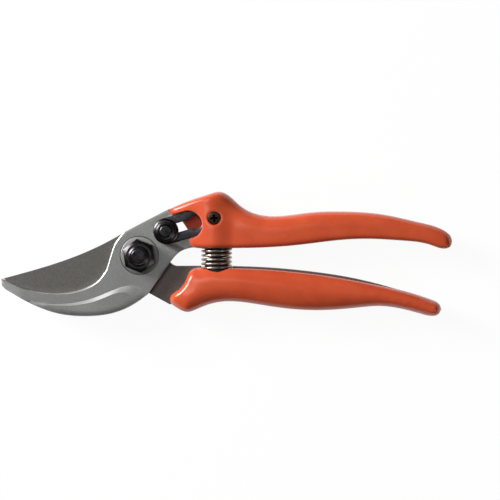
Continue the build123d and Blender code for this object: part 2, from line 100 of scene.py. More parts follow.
def bead_blasted_steel():
    """Forged steel, bead blasted and satin nickel plated: an even mid grey with a fine dull sparkle.

    Where the forging is ground after blasting, at the hook's edge, it is brighter and smoother.
    The step's flank takes the same lighter colour and smoothness as a painted highlight.
    """
    m = blank("bead_blasted_steel")
    place = add(m, "ShaderNodeTexCoord").outputs["Object"]
    # The real pits are about 0.1 mm; they are drawn at 0.7 mm so that they show.
    pits = add(m, "ShaderNodeTexNoise",
               {"Vector": place, "Scale": per_metre(0.7), "Detail": 3.0, "Roughness": 0.6})
    patch = add(m, "ShaderNodeTexNoise", {"Vector": place, "Scale": per_metre(16.0), "Detail": 2.0})
    tone = add(m, "ShaderNodeMix",
               {"Factor": 0.3, "A": pits.outputs["Fac"], "B": patch.outputs["Fac"]}, data_type="FLOAT")
    colour = add(m, "ShaderNodeValToRGB", {"Fac": tone.outputs[0]},
                 stops=((0.3, "#959695"), (0.7, "#b2b3b1")))
    ground = add(m, "ShaderNodeAttribute", attribute_name="ground").outputs["Fac"]
    # The lighter tint is the ground bevel's own colour, and on the step's flank a painted highlight.
    tint = add(m, "ShaderNodeMix",
               {"Factor": ground, "A": colour.outputs["Color"], "B": linear("#b4b3b0")}, data_type="RGBA")
    rough = add(m, "ShaderNodeMapRange", {"Value": ground, "To Min": 0.5, "To Max": 0.4})
    bump = add(m, "ShaderNodeBump", {"Height": pits.outputs["Fac"], "Strength": 0.25, "Distance": 0.08 * MM})
    shader = add(m, "ShaderNodeBsdfPrincipled", {
        "Base Color": tint.outputs["Result"], "Normal": bump.outputs["Normal"],
        "Metallic": 1.0, "Roughness": rough.outputs["Result"]})
    add(m, "ShaderNodeOutputMaterial", {"Surface": shader.outputs["BSDF"]})
    return m


def dark_coated_steel():
    """Blade steel under a baked low-friction coat: dark warm grey, with a dull sheen and a fine grain."""
    m = blank("dark_coated_steel")
    place = add(m, "ShaderNodeTexCoord").outputs["Object"]
    # The coat's grain is about 0.1 mm; it is drawn at 0.8 mm so that it shows.
    grain = add(m, "ShaderNodeTexNoise",
                {"Vector": place, "Scale": per_metre(0.8), "Detail": 4.0, "Roughness": 0.7})
    colour = add(m, "ShaderNodeValToRGB", {"Fac": grain.outputs["Fac"]},
                 stops=((0.3, "#6d6a66"), (0.7, "#827f7b")))
    bump = add(m, "ShaderNodeBump", {"Height": grain.outputs["Fac"], "Strength": 0.2, "Distance": 0.05 * MM})
    shader = add(m, "ShaderNodeBsdfPrincipled", {
        "Base Color": colour.outputs["Color"], "Normal": bump.outputs["Normal"],
        "Metallic": 0.9, "Roughness": 0.48})
    add(m, "ShaderNodeOutputMaterial", {"Surface": shader.outputs["BSDF"]})
    return m


def black_oxide_steel():
    """Oiled black oxide on machined steel: near black, with bright clear highlights."""
    m = blank("black_oxide_steel")
    place = add(m, "ShaderNodeTexCoord").outputs["Object"]
    wear = add(m, "ShaderNodeTexNoise", {"Vector": place, "Scale": per_metre(2.5), "Detail": 3.0})
    rough = add(m, "ShaderNodeMapRange", {"Value": wear.outputs["Fac"], "From Min": 0.3, "From Max": 0.7,
                                          "To Min": 0.24, "To Max": 0.34})
    colour = add(m, "ShaderNodeValToRGB", {"Fac": wear.outputs["Fac"]},
                 stops=((0.3, "#393739"), (0.7, "#4c494a")))
    shader = add(m, "ShaderNodeBsdfPrincipled", {
        "Base Color": colour.outputs["Color"], "Metallic": 1.0,
        "Roughness": rough.outputs["Result"]})
    add(m, "ShaderNodeOutputMaterial", {"Surface": shader.outputs["BSDF"]})
    return m


def spring_steel():
    """Bare music wire, drawn and oiled: warm grey, with a bright line on each turn and darker marks."""
    m = blank("spring_steel")
    place = add(m, "ShaderNodeTexCoord").outputs["Object"]
    marks = add(m, "ShaderNodeTexNoise", {"Vector": place, "Scale": per_metre(1.5), "Detail": 3.0})
    colour = add(m, "ShaderNodeValToRGB", {"Fac": marks.outputs["Fac"]},
                 stops=((0.3, "#a1958e"), (0.7, "#bfb6ae")))
    shader = add(m, "ShaderNodeBsdfPrincipled", {
        "Base Color": colour.outputs["Color"], "Roughness": 0.3, "Metallic": 1.0})
    add(m, "ShaderNodeOutputMaterial", {"Surface": shader.outputs["BSDF"]})
    return m


def orange_nylon():
    """Glass-filled nylon, injection moulded in orange: satin, with broad soft highlights."""
    m = blank("orange_nylon")
    place = add(m, "ShaderNodeTexCoord").outputs["Object"]
    flow = add(m, "ShaderNodeTexNoise", {"Vector": place, "Scale": per_metre(9.0), "Detail": 2.0})
    colour = add(m, "ShaderNodeValToRGB", {"Fac": flow.outputs["Fac"]},
                 stops=((0.35, "#d75633"), (0.65, "#df5d39")))
    # The moulded skin's texture is about 0.2 mm; it is drawn at 0.9 mm so that it shows.
    skin = add(m, "ShaderNodeTexNoise", {"Vector": place, "Scale": per_metre(0.9), "Detail": 2.0})
    bump = add(m, "ShaderNodeBump", {"Height": skin.outputs["Fac"], "Strength": 0.08, "Distance": 0.05 * MM})
    shader = add(m, "ShaderNodeBsdfPrincipled", {
        "Base Color": colour.outputs["Color"], "Normal": bump.outputs["Normal"],
        "Roughness": 0.24, "IOR": 1.53})
    add(m, "ShaderNodeOutputMaterial", {"Surface": shader.outputs["BSDF"]})
    return m


def black_nylon():
    """Black moulded nylon: deep black and fairly glossy, with a faint moulded skin."""
    m = blank("black_nylon")
    place = add(m, "ShaderNodeTexCoord").outputs["Object"]
    skin = add(m, "ShaderNodeTexNoise", {"Vector": place, "Scale": per_metre(0.9), "Detail": 3.0})
    colour = add(m, "ShaderNodeValToRGB", {"Fac": skin.outputs["Fac"]},
                 stops=((0.3, "#19191b"), (0.7, "#222226")))
    bump = add(m, "ShaderNodeBump", {"Height": skin.outputs["Fac"], "Strength": 0.1, "Distance": 0.04 * MM})
    shader = add(m, "ShaderNodeBsdfPrincipled", {
        "Base Color": colour.outputs["Color"], "Normal": bump.outputs["Normal"],
        "Roughness": 0.26, "IOR": 1.53})
    add(m, "ShaderNodeOutputMaterial", {"Surface": shader.outputs["BSDF"]})
    return m


def black_rubber():
    """Moulded black nitrile rubber: matt, with a dusty bloom in faint patches."""
    m = blank("black_rubber")
    place = add(m, "ShaderNodeTexCoord").outputs["Object"]
    bloom = add(m, "ShaderNodeTexNoise", {"Vector": place, "Scale": per_metre(3.0), "Detail": 4.0})
    colour = add(m, "ShaderNodeValToRGB", {"Fac": bloom.outputs["Fac"]},
                 stops=((0.35, "#1d1d1e"), (0.7, "#2b2b2d")))
    shader = add(m, "ShaderNodeBsdfPrincipled", {
        "Base Color": colour.outputs["Color"], "Roughness": 0.6, "IOR": 1.5})
    add(m, "ShaderNodeOutputMaterial", {"Surface": shader.outputs["BSDF"]})
    return m


def brass():
    """Free-cutting brass, turned on an automatic: warm yellow, with fine rings from the tool."""
    m = blank("brass")
    place = add(m, "ShaderNodeTexCoord").outputs["Object"]
    # The tool's feed is about 0.1 mm; its rings are drawn 0.3 mm apart so that they show.
    rings = add(m, "ShaderNodeTexWave",
                {"Vector": place, "Scale": per_metre(0.3) / (2 * math.pi)}, bands_direction="Z")
    colour = add(m, "ShaderNodeValToRGB", {"Fac": rings.outputs["Fac"]},
                 stops=((0.0, "#b88f45"), (1.0, "#d2ad60")))
    shader = add(m, "ShaderNodeBsdfPrincipled", {
        "Base Color": colour.outputs["Color"], "Roughness": 0.3, "Metallic": 1.0})
    add(m, "ShaderNodeOutputMaterial", {"Surface": shader.outputs["BSDF"]})
    return m


def track_steel():
    """A blackened spring-steel plate that the lock runs on: dark blue grey, with worn bright edges."""
    m = blank("track_steel")
    place = add(m, "ShaderNodeTexCoord").outputs["Object"]
    wear = add(m, "ShaderNodeTexNoise", {"Vector": place, "Scale": per_metre(1.2), "Detail": 3.0})
    colour = add(m, "ShaderNodeValToRGB", {"Fac": wear.outputs["Fac"]},
                 stops=((0.3, "#45464a"), (0.7, "#5a5b5f")))
    shader = add(m, "ShaderNodeBsdfPrincipled", {
        "Base Color": colour.outputs["Color"], "Metallic": 1.0, "Roughness": 0.42})
    add(m, "ShaderNodeOutputMaterial", {"Surface": shader.outputs["BSDF"]})
    return m


def browned_screw_steel():
    """Browned screw steel: dark brown, with a thin oily shine."""
    m = blank("browned_screw_steel")
    place = add(m, "ShaderNodeTexCoord").outputs["Object"]
    wear = add(m, "ShaderNodeTexNoise", {"Vector": place, "Scale": per_metre(0.9), "Detail": 3.0})
    colour = add(m, "ShaderNodeValToRGB", {"Fac": wear.outputs["Fac"]},
                 stops=((0.0, "#3a2d26"), (1.0, "#5c4a41")))
    shader = add(m, "ShaderNodeBsdfPrincipled", {
        "Base Color": colour.outputs["Color"], "Metallic": 1.0, "Roughness": 0.35})
    add(m, "ShaderNodeOutputMaterial", {"Surface": shader.outputs["BSDF"]})
    return m


def recess_painted_shade():
    """Painted shade for the inside of a screw's cross recess: near black and matt, darker than the screw's
    own steel.
    """
    m = blank("recess_painted_shade")
    place = add(m, "ShaderNodeTexCoord").outputs["Object"]
    oil = add(m, "ShaderNodeTexNoise", {"Vector": place, "Scale": per_metre(0.5), "Detail": 2.0})
    colour = add(m, "ShaderNodeValToRGB", {"Fac": oil.outputs["Fac"]},
                 stops=((0.0, "#060505"), (1.0, "#100c0b")))
    shader = add(m, "ShaderNodeBsdfPrincipled", {
        "Base Color": colour.outputs["Color"], "Roughness": 0.9, "Specular IOR Level": 0.15})
    add(m, "ShaderNodeOutputMaterial", {"Surface": shader.outputs["BSDF"]})
    return m


makers = (bead_blasted_steel, dark_coated_steel, black_oxide_steel, spring_steel, orange_nylon, black_rubber,
          black_nylon, brass)
finishes = {maker.__name__: maker() for maker in makers}

for part in frame["record"]["subparts"]:
    mesh = nodes[part["node"]].data
    mesh.materials.clear()
    mesh.materials.append(finishes[part["material_slot"]])


# ---- lines in the plane, in millimetres ----

LINE_STEP = 0.7
ARC_STEP = 0.5

# Points closer than this are one point.
SAME_PLACE = 0.02

# How many points are measured at once, which keeps the memory small.
BATCH = 2000


def smooth(*points):
    """A cubic spline through the points, in even steps."""
    p = np.array(points, float)
    t = np.concatenate([[0.0], np.cumsum(np.linalg.norm(np.diff(p, axis=0), axis=1))])
    n = len(p)
    h = np.diff(t)
    rows = np.eye(n)
    right = np.zeros_like(p)
    for i in range(1, n - 1):
        rows[i, i - 1:i + 2] = h[i - 1], 2 * (h[i - 1] + h[i]), h[i]
        right[i] = 6 * ((p[i + 1] - p[i]) / h[i] - (p[i] - p[i - 1]) / h[i - 1])
    bend = np.linalg.solve(rows, right)
    s = np.linspace(0.0, t[-1], max(round(t[-1] / LINE_STEP), 2) + 1)
    k = np.clip(np.searchsorted(t, s, side="right") - 1, 0, n - 2)
    u, v, w = (t[k + 1] - s)[:, None], (s - t[k])[:, None], h[k][:, None]
    return (bend[k] * u ** 3 + bend[k + 1] * v ** 3) / (6 * w) + (
        (p[k] / w - bend[k] * w / 6) * u + (p[k + 1] / w - bend[k + 1] * w / 6) * v)


def straight(a, b):
    """A straight run of points from a to b."""
    count = max(round(math.dist(a, b) / LINE_STEP), 1)
    return np.linspace(a, b, count + 1)


def arc(centre, radius, start, end):
    """Part of a circle; the angles are in degrees."""
    count = max(round(abs(math.radians(end - start)) * radius / ARC_STEP), 6)
    a = np.radians(np.linspace(start, end, count + 1))
    return np.stack([centre[0] + radius * np.cos(a), centre[1] + radius * np.sin(a)], 1)


def circle(centre, radius):
    """A full circle as a loop."""
    return arc(centre, radius, 0, 360)[:-1]


def join(*runs):
    """Runs end to end, without the points that repeat."""
    points = np.concatenate(runs)
    keep = np.linalg.norm(points - np.roll(points, 1, 0), axis=1) > SAME_PLACE
    return points[keep]


def cut_at(run, x):
    """The part of a left-to-right run from x on, starting exactly there."""
    order = np.interp(x, run[:, 0], np.arange(len(run)))
    low = int(order)
    point = run[low] + (run[min(low + 1, len(run) - 1)] - run[low]) * (order - low)
    return np.vstack([point, run[low + 1:]])


def closed(loop):
    """A loop with its first point once more at its end."""
    return np.vstack([loop, loop[:1]])


def distance(points, line, looped=False):
    """How far each point is from a line of points."""
    a = line if looped else line[:-1]
    along = (np.roll(line, -1, 0) if looped else line[1:]) - a
    length = (along ** 2).sum(1)
    found = np.empty(len(points))
    for i in range(0, len(points), BATCH):
        rel = points[i:i + BATCH, None] - a[None]
        t = np.clip((rel * along).sum(2) / length, 0, 1)
        found[i:i + BATCH] = np.linalg.norm(rel - t[..., None] * along, axis=2).min(1)
    return found


def inside(points, loop):
    """Whether each point lies in a closed loop."""
    b = np.roll(loop, -1, 0)
    rise = b[:, 1] - loop[:, 1]
    rise = np.where(rise == 0, 1e-12, rise)
    crossed = np.zeros(len(points), bool)
    for i in range(0, len(points), BATCH):
        x, y = points[i:i + BATCH, 0:1], points[i:i + BATCH, 1:2]
        spans = (loop[:, 1] > y) != (b[:, 1] > y)
        at = loop[:, 0] + (y - loop[:, 1]) * (b[:, 0] - loop[:, 0]) / rise
        crossed[i:i + BATCH] = (spans & (x < at)).sum(1) % 2 == 1
    return crossed


def ease(value, low, high):
    """0 below low, 1 above high, and a smooth change between."""
    t = np.clip((value - low) / (high - low), 0, 1)
    return t * t * (3 - 2 * t)


def rounding(d, width, height, power=2.0):
    """How far a face has dropped at d inside a rounded border of this width and height."""
    t = 1 - np.clip(d / width, 0, 1)
    return height * (1 - (1 - t ** power) ** (1 / power))


# ---- meshes ----

# Edges that turn by more than this many degrees are crisp.
SHARP = 40.0

# How far from a shell's edges its rows of closer points stand.
SHELL_RINGS = (0.08, 0.25, 0.5, 0.9, 1.4, 2.1, 3.0)

# The height of an even triangle, as a share of its side.
ROW_SHARE = 0.866

# The corners of a square, in turn.
CORNERS = ((-1, -1), (1, -1), (1, 1), (-1, 1))


def to_object(name, vertices, faces, finish, body, sharp=SHARP, node=None):
    """A mesh in millimetres becomes a piece that rides on a body and takes a CAD node's place."""
    mesh = bpy.data.meshes.new(name)
    mesh.from_pydata([tuple(v) for v in np.asarray(vertices, float) * MM], [], faces)
    mesh.validate()
    mesh.update()
    mesh.shade_smooth()
    mesh.set_sharp_from_angle(angle=math.radians(sharp))
    mesh.materials.append(finishes[finish])
    obj = bpy.data.objects.new(name, mesh)
    bpy.context.scene.collection.objects.link(obj)
    if body:
        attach(obj, body)
    if node:
        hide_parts(node)
    return obj


def relief(name, outline, top, bottom, finish, body, node, holes=(), creases=(), rings=SHELL_RINGS,
           pitch=1.4, sharp=SHARP):
    """A plate whose front and back heights are given as functions of the point.

    The mesh follows the outline, the holes and the creases, and is finer near them.
    """
    loops = [outline, *holes]
    points, edges = [], []
    for line, looped in [(l, True) for l in loops] + [(c, False) for c in creases]:
        first = len(points)
        points.extend(map(tuple, line))
        edges.extend((first + i, first + i + 1) for i in range(len(line) - 1))
        if looped:
            edges.append((first + len(line) - 1, first))
    low, high = np.min(points, axis=0), np.max(points, axis=0)
    spaced = []
    taken = {}
    cell = 0.25

    def on_plate(places):
        """Which places are inside the outline and outside every hole."""
        found = inside(places, outline)
        for hole in holes:
            found &= ~inside(places, hole)
        return found

    def cell_of(p):
        """The cell that a point is in."""
        return math.floor(p[0] / cell), math.floor(p[1] / cell)

    def room(p, space):
        """Whether no point that is already there is closer than this."""
        reach = math.ceil(space / cell)
        cx, cy = cell_of(p)
        for ix in range(cx - reach, cx + reach + 1):
            for iy in range(cy - reach, cy + reach + 1):
                for q in taken.get((ix, iy), ()):
                    if (q[0] - p[0]) ** 2 + (q[1] - p[1]) ** 2 < space * space:
                        return False
        return True

    def take(p):
        """Remembers a point by its cell."""
        taken.setdefault(cell_of(p), []).append(p)

    for p in points:
        take(p)
    for depth in rings:
        wanted = []
        for line in loops:
            forward = np.roll(line, -1, 0) - np.roll(line, 1, 0)
            length = np.linalg.norm(forward, axis=1)[:, None] + 1e-9
            side = np.stack([-forward[:, 1], forward[:, 0]], 1) / length
            wanted.append(line + side * depth)
            wanted.append(line - side * depth)
        wanted = np.concatenate(wanted)
        wanted = wanted[on_plate(wanted)]
        near = np.min([distance(wanted, l, True) for l in loops], axis=0)
        wanted = wanted[near > depth * 0.96]
        for p in map(tuple, wanted):
            if room(p, min(0.45, 0.8 * depth + 0.05)):
                take(p)
                spaced.append(p)
    # Between the edges the points stand in a net of even triangles.
    xs = np.arange(low[0], high[0], pitch)
    ys = np.arange(low[1], high[1], pitch * ROW_SHARE)
    grid = np.array([(x + (pitch / 2 if row % 2 else 0), y) for row, y in enumerate(ys) for x in xs])
    for p in map(tuple, grid[on_plate(grid)]):
        if room(p, pitch * 0.6):
            take(p)
            spaced.append(p)
    flat = [Vector(p) for p in points + spaced]
    made = delaunay_2d_cdt(flat, edges, [], 0, 1e-5)
    xy = np.array([tuple(v) for v in made[0]])
    triangles = np.array(made[2])
    triangles = triangles[on_plate(xy[triangles].mean(1))]
    used = np.unique(triangles)
    renumber = np.full(len(xy), -1)
    renumber[used] = np.arange(len(used))
    xy, triangles = xy[used], renumber[triangles]
    a, b, c = xy[triangles[:, 0]], xy[triangles[:, 1]], xy[triangles[:, 2]]
    turn = (b[:, 0] - a[:, 0]) * (c[:, 1] - a[:, 1]) - (b[:, 1] - a[:, 1]) * (c[:, 0] - a[:, 0])
    triangles = np.where((turn < 0)[:, None], triangles[:, ::-1], triangles)
    n = len(xy)
    vertices = np.vstack([np.column_stack([xy, top(xy)]), np.column_stack([xy, bottom(xy)])])
    # An edge that only one triangle has gets a side face.
    sides = {}
    for t in triangles:
        for i in range(3):
            e = (int(t[i]), int(t[(i + 1) % 3]))
            if (e[1], e[0]) in sides:
                del sides[(e[1], e[0])]
            else:
                sides[e] = True
    faces = [tuple(map(int, t)) for t in triangles] + [tuple(int(i) + n for i in t[::-1]) for t in triangles]
    faces += [(e[0], e[0] + n, e[1] + n, e[1]) for e in sides]
    return to_object(name, vertices, faces, finish, body, sharp, node)


def lathe(profile, count=64, centre=(0.0, 0.0), shape=None, start=0.0):
    """Vertices and faces of a profile of (radius, height) points turned round Z, closed at both ends.

    shape may change a ring's radius with the angle, which is counted from start.
    """
    vertices, faces = [], []
    for r, z in profile:
        for i in range(count):
            a = start + 2 * math.pi * i / count
            rr = shape(r, a) if shape else r
            vertices.append((centre[0] + rr * math.cos(a), centre[1] + rr * math.sin(a), z))
    rows = len(profile)
    for j in range(rows - 1):
        for i in range(count):
            k = (i + 1) % count
            faces.append((j * count + i, j * count + k, (j + 1) * count + k, (j + 1) * count + i))
    faces.append(tuple(range(count - 1, -1, -1)))
    faces.append(tuple((rows - 1) * count + i for i in range(count)))
    return vertices, faces


def prism(loop, low, high):
    """Vertices and faces of a loop that stands from low to high."""
    n = len(loop)
    vertices = [(*p, low) for p in loop] + [(*p, high) for p in loop]
    faces = [tuple(range(n - 1, -1, -1)), tuple(range(n, 2 * n))]
    faces += [(i, (i + 1) % n, n + (i + 1) % n, n + i) for i in range(n)]
    return vertices, faces


def rounded(points, radius):
    """A profile with the corners between its ends rounded off."""
    steps = 3
    out = [points[0]]
    for before, at, after in zip(points, points[1:], points[2:]):
        a, b = np.subtract(before, at), np.subtract(after, at)
        la, lb = np.linalg.norm(a), np.linalg.norm(b)
        r = min(radius, la * 0.45, lb * 0.45)
        p0, p2 = np.add(at, a / la * r), np.add(at, b / lb * r)
        for s in range(steps + 1):
            t = s / steps
            out.append(tuple((1 - t) ** 2 * p0 + 2 * t * (1 - t) * np.array(at) + t * t * p2))
    out.append(points[-1])
    return out


def cut(obj, vertices, faces, slot=0):
    """Cuts a closed shape, in millimetres, out of a piece. The cut faces take the finish in this slot."""
    mesh = bpy.data.meshes.new("cutter")
    mesh.from_pydata([tuple(v) for v in np.asarray(vertices, float) * MM], [], faces)
    for _ in range(slot + 1):
        mesh.materials.append(None)
    mesh.polygons.foreach_set("material_index", [slot] * len(faces))
    cutter = bpy.data.objects.new("cutter", mesh)
    bpy.context.scene.collection.objects.link(cutter)
    bm = bmesh.new()
    bm.from_mesh(mesh)
    bmesh.ops.recalc_face_normals(bm, faces=bm.faces)
    bm.to_mesh(mesh)
    bm.free()
    change = obj.modifiers.new("cut", "BOOLEAN")
    change.operation = "DIFFERENCE"
    change.solver = "EXACT"
    change.object = cutter
    bpy.context.view_layer.update()
    result = bpy.data.meshes.new_from_object(obj.evaluated_get(bpy.context.evaluated_depsgraph_get()))
    obj.modifiers.clear()
    obj.data = result
    bpy.data.objects.remove(cutter)
    result.shade_smooth()
    result.set_sharp_from_angle(angle=math.radians(SHARP))


# ---- grips ----

# The heights at which each grip's front and rear shells meet.
PART_UPPER = 11.55
PART_LOWER = 8.15
GRIP_THICK = 18.6

# No shell is thinner than this at its edge.
LEAST_WALL = 0.4

# The x of each grip's far end.
UPPER_END = 148.4
LOWER_END = 143.7

# The spring's axis runs along Y; each pocket is from one y to another.
SPRING_X = 36.5
SPRING_Z = 9.3
POCKET_R = 8.0
UPPER_POCKET = (-3.0, 11.1)
LOWER_POCKET = (-13.7, 1.0)

# The lock's centre at rest, and the way it slides.
LOCK = np.array([12.64, 11.45])
SLIDE_ANGLE = 15.9
SLIDE_TRAVEL = 11.1
SLIDE = np.array([math.cos(math.radians(SLIDE_ANGLE)), math.sin(math.radians(SLIDE_ANGLE))])
ACROSS = np.array([-SLIDE[1], SLIDE[0]])

# The grip screws' places, and their holes in the shells and in the tang.
HEAD_SCREW = (35.5, 17.8)
END_SCREW = (117.0, 11.4)
LOWER_SCREWS = [(56.0, -15.2), (112.0, -17.6)]
SCREW_HOLE_R = 3.15
TANG_HOLE_R = 2.2

upper_top = smooth(
    (11, 20.3), (24.2, 25.9), (33, 28.8), (38.4, 29.84), (42.4, 28), (47.9, 23.1), (57.4, 18.8), (66.9, 18.3),
    (81.2, 20), (95.4, 20.5), (114.4, 19.3), (133.4, 15.3), (141.5, 13.1), (146, 10.7), (147.8, 8.7),
    (UPPER_END, 6.4))
upper_bottom = smooth(
    (11, 3.4), (27.5, 3.4), (40, 3.4), (57.4, 3.7), (76.4, 5.1), (95.4, 7.3), (109.7, 7.8), (123.9, 7),
    (138.2, 4.8), (144.8, 3.1), (147.4, 3.9), (UPPER_END, 6.4))
lower_top = smooth(
    (11, -6), (28.9, -6), (57.4, -6.8), (76.4, -8.4), (95.4, -11), (114.4, -14.7), (133.4, -19.6),
    (139.4, -21.7), (142.7, -23.6), (LOWER_END, -26.1))
lower_bottom = smooth(
    (11, -20.9), (17.5, -25.2), (22.5, -27.2), (27, -25.9), (33.7, -23.3), (43.2, -22.1), (52.7, -23),
    (66.9, -25.2), (85.9, -26.4), (104.9, -25.1), (114.4, -24.5), (123.9, -25.7), (134, -28.3),
    (139.2, -29.34), (142.4, -28.5), (LOWER_END, -26.1))

# The grips thin from this x to their ends, and each end is rounded over a width and a height.
THIN_START = 50.0
THIN_BY = 2.4
END_ROUND = (4.6, 2.4)


def thinning(x, end_x):
    """How far each face of a grip has come in at x."""
    share = np.maximum(x - THIN_START, 0) / (end_x - THIN_START)
    return THIN_BY * share ** 1.3


def width_at(x, top, bottom):
    """How wide a grip is at x."""
    return np.interp(x, top[:, 0], top[:, 1]) - np.interp(x, bottom[:, 0], bottom[:, 1])


def softer(a, b, round_by):
    """The lower of two heights, with the crest between them rounded."""
    return (a + b - np.sqrt((a - b) ** 2 + round_by ** 2)) / 2


def pocket(low_y, high_y):
    """The round seat of the spring, along Y."""
    vertices, faces = lathe([(POCKET_R, low_y), (POCKET_R, high_y)], 96)
    return [(SPRING_X + x, z, SPRING_Z + y) for x, y, z in vertices], faces


def upper_drops(xy, rim):
    """How far the upper grip's outer faces have come in from their highest level, by place."""
    x = xy[:, 0]
    d_top, d_gap = distance(xy, upper_top), distance(xy, upper_bottom)
    wide = width_at(x, upper_top, upper_bottom)
    handle = ease(x, 44, 70)
    w_top = 1.9 + 3.6 * ease(x, 30, 44)
    w_top = (1 - handle) * w_top + handle * 0.5 * wide
    w_gap = (1 - handle) * 2.4 + handle * 0.24 * wide
    h_top = 1.9 + 2.9 * ease(x, 26, 42)
    drop = rounding(d_top, w_top, h_top, 2.1) + rounding(d_gap, w_gap, 3.0 - 0.5 * handle, 2.2)
    drop += rounding(UPPER_END - x, *END_ROUND) + thinning(x, UPPER_END)
    return drop + rounding(rim, 0.9, 0.8)


# The front shell's rim runs from a lip, round the lock's bay, to a foot by the spring.
LIP_X = 13.3
LIP_HEIGHT = 13.3
FOOT_X = 27.2
BAY_R = 6.55
lip = straight((LIP_X, 21.3), (15.5, 19.2))
bay_end = LOCK + SLIDE_TRAVEL * SLIDE
bay_in = LOCK + BAY_R * ACROSS + 5.0 * SLIDE
bay = join(straight(bay_in, bay_end + BAY_R * ACROSS),
           arc(bay_end, BAY_R, SLIDE_ANGLE + 90, SLIDE_ANGLE - 90))
foot = smooth((23.5, 7.7), (24.6, 4.9), (FOOT_X, 3.4))
upper_front_rim = join(lip, bay, foot)
upper_front_outline = join(upper_front_rim, cut_at(upper_bottom, FOOT_X), cut_at(upper_top, LIP_X)[::-1])
screw_hole = circle(HEAD_SCREW, SCREW_HOLE_R)


def upper_front_face(xy):
    """A ramp up from the lip to a crest, then a fall to the handle's level."""
    x = xy[:, 0]
    rise = LIP_HEIGHT + 0.33 * (x - LIP_X)
    heel = ease(xy[:, 1], 12, 24)
    dip = 1 - ease(x, 33.0 - 4.2 * heel, 45.0 + 1.8 * heel)
    fall = 17.9 - 1.7 * heel * (1 - ease(x, 44, 84)) + 0.3 * ease(x, 52, 75) + (2.3 + 1.3 * heel) * dip
    face = softer(rise, fall, 2.2)
    face -= rounding(distance(xy, screw_hole, True), 0.4, 0.3)
    least = PART_UPPER + LEAST_WALL + 1.5 * (1 - ease(x, 15.5, 20))
    return np.maximum(face - upper_drops(xy, distance(xy, upper_front_rim)), least)


# The tangs inside the grips, and the heights behind and in front of each that its shells rest on.
UPPER_SEATS = (9.98, 13.12)
LOWER_SEATS = (6.38, 9.92)
tang_top = smooth((14, 21.9), (24, 23.2), (36, 25), (46, 19.6), (60, 15), (95, 16.6), (125, 13.6), (143, 6.8))
counter_tang = join(
    tang_top,
    smooth((143, 6.8), (141, 5.6), (130, 7.4), (109.7, 7.8), (90, 6.4), (66.9, 3.6), (40, 2.8), (24.7, 3.6)),
    np.array([(10.0, 4.0), (10.0, 20.0)]))
blade_tang = join(
    smooth((17.6, -5.46), (40, -5.5), (62.2, -6.3), (81.2, -8.1), (100.2, -11), (114.4, -14.3), (130, -19.6),
           (138.6, -24.6)),
    smooth((138.6, -24.6), (132, -25), (114, -20.8), (86, -22.4), (62, -20.6), (45, -18.6), (30, -21),
           (14.3, -23.3)),
    np.array([(10.0, -22.0), (10.0, -6.0)]))


def seat(tang, over_tang, parting):
    """The inner face of a shell: at the parting plane, and against the tang where that is."""
    return lambda xy: np.where(inside(xy, tang), over_tang, parting)


upper_front = relief(
    "upper_front_shell", upper_front_outline, upper_front_face,
    seat(counter_tang, UPPER_SEATS[1], PART_UPPER),
    "orange_nylon", COUNTER_BODY, "upper_grip_front", holes=[screw_hole])

# A rear screw's pad is flat out to the first radius and gone at the second.
PAD_R = (3.3, 6.0)


def flat_pad(drop, xy, centre, end_x):
    """The drop of a rear face with a flat pad round a screw's head."""
    near = 1 - ease(np.hypot(xy[:, 0] - centre[0], xy[:, 1] - centre[1]), *PAD_R)
    return drop + near * (thinning(centre[0], end_x) - drop)


REAR_TOP_X = 15.65
REAR_LOW_X = 28.36
rear_end = straight((REAR_TOP_X, 22.3), (REAR_LOW_X, 3.4))
upper_rear_outline = join(rear_end, cut_at(upper_bottom, REAR_LOW_X), cut_at(upper_top, REAR_TOP_X)[::-1])


def upper_rear_face(xy):
    """The upper grip's back, with a flat pad for its screw."""
    drop = flat_pad(upper_drops(xy, distance(xy, rear_end)), xy, END_SCREW, UPPER_END)
    return np.minimum(drop, PART_UPPER - LEAST_WALL)


# How far along the slide the slot's two ends are from the lock's centre at rest.
SLOT = (-1.2, 14.6)


def near_end(radius, start):
    """A slot's round end, at its start along the lock's slide."""
    return arc(LOCK + start * SLIDE, radius, SLIDE_ANGLE + 90, SLIDE_ANGLE + 270)


def slot_loop(radius, start, end):
    """A slot's outline along the lock's slide."""
    far_end = arc(LOCK + end * SLIDE, radius, SLIDE_ANGLE - 90, SLIDE_ANGLE + 90)
    return join(near_end(radius, start), far_end)


upper_rear = relief(
    "upper_rear_shell", upper_rear_outline, seat(counter_tang, UPPER_SEATS[0], PART_UPPER), upper_rear_face,
    "orange_nylon", COUNTER_BODY, "upper_grip_rear", holes=[circle(END_SCREW, SCREW_HOLE_R)])
# The foot of the lock's rivet runs in this slot.
cut(upper_rear, *prism(slot_loop(3.3, *SLOT), 6.5, 12.5))

# The lower grip: both shells share one outline.
RIM_TOP_X = 27.4
RIM_LOW_X = 14.6
lower_rim = smooth(
    (RIM_TOP_X, -6.0), (24.6, -6.9), (21.6, -12.4), (18.2, -16.6), (14.3, -20.6), (14.4, -23.0))
lower_outline = join(lower_rim, cut_at(lower_bottom, RIM_LOW_X), cut_at(lower_top, RIM_TOP_X)[::-1])


def lower_drops(xy):
    """How far the lower grip's outer faces have come in from their highest level, by place."""
    x = xy[:, 0]
    d_top, d_low, d_rim = distance(xy, lower_top), distance(xy, lower_bottom), distance(xy, lower_rim)
    wide = width_at(x, lower_top, lower_bottom)
    handle = ease(x, 40, 66)
    end = ease(x, 100, 138)
    w_top = (1 - handle) * 6.5 + handle * wide * (0.52 - 0.06 * end)
    w_low = (1 - handle) * 8.5 + handle * wide * (0.6 - 0.1 * end)
    drop = rounding(d_top, w_top, 4.0 + 1.0 * handle) + rounding(d_low, w_low, 6.6)
    drop += rounding(LOWER_END - x, *END_ROUND) + thinning(x, LOWER_END)
    return drop + rounding(d_rim, 2.4, 1.7) + rounding(d_rim, 8.5, 2.4)


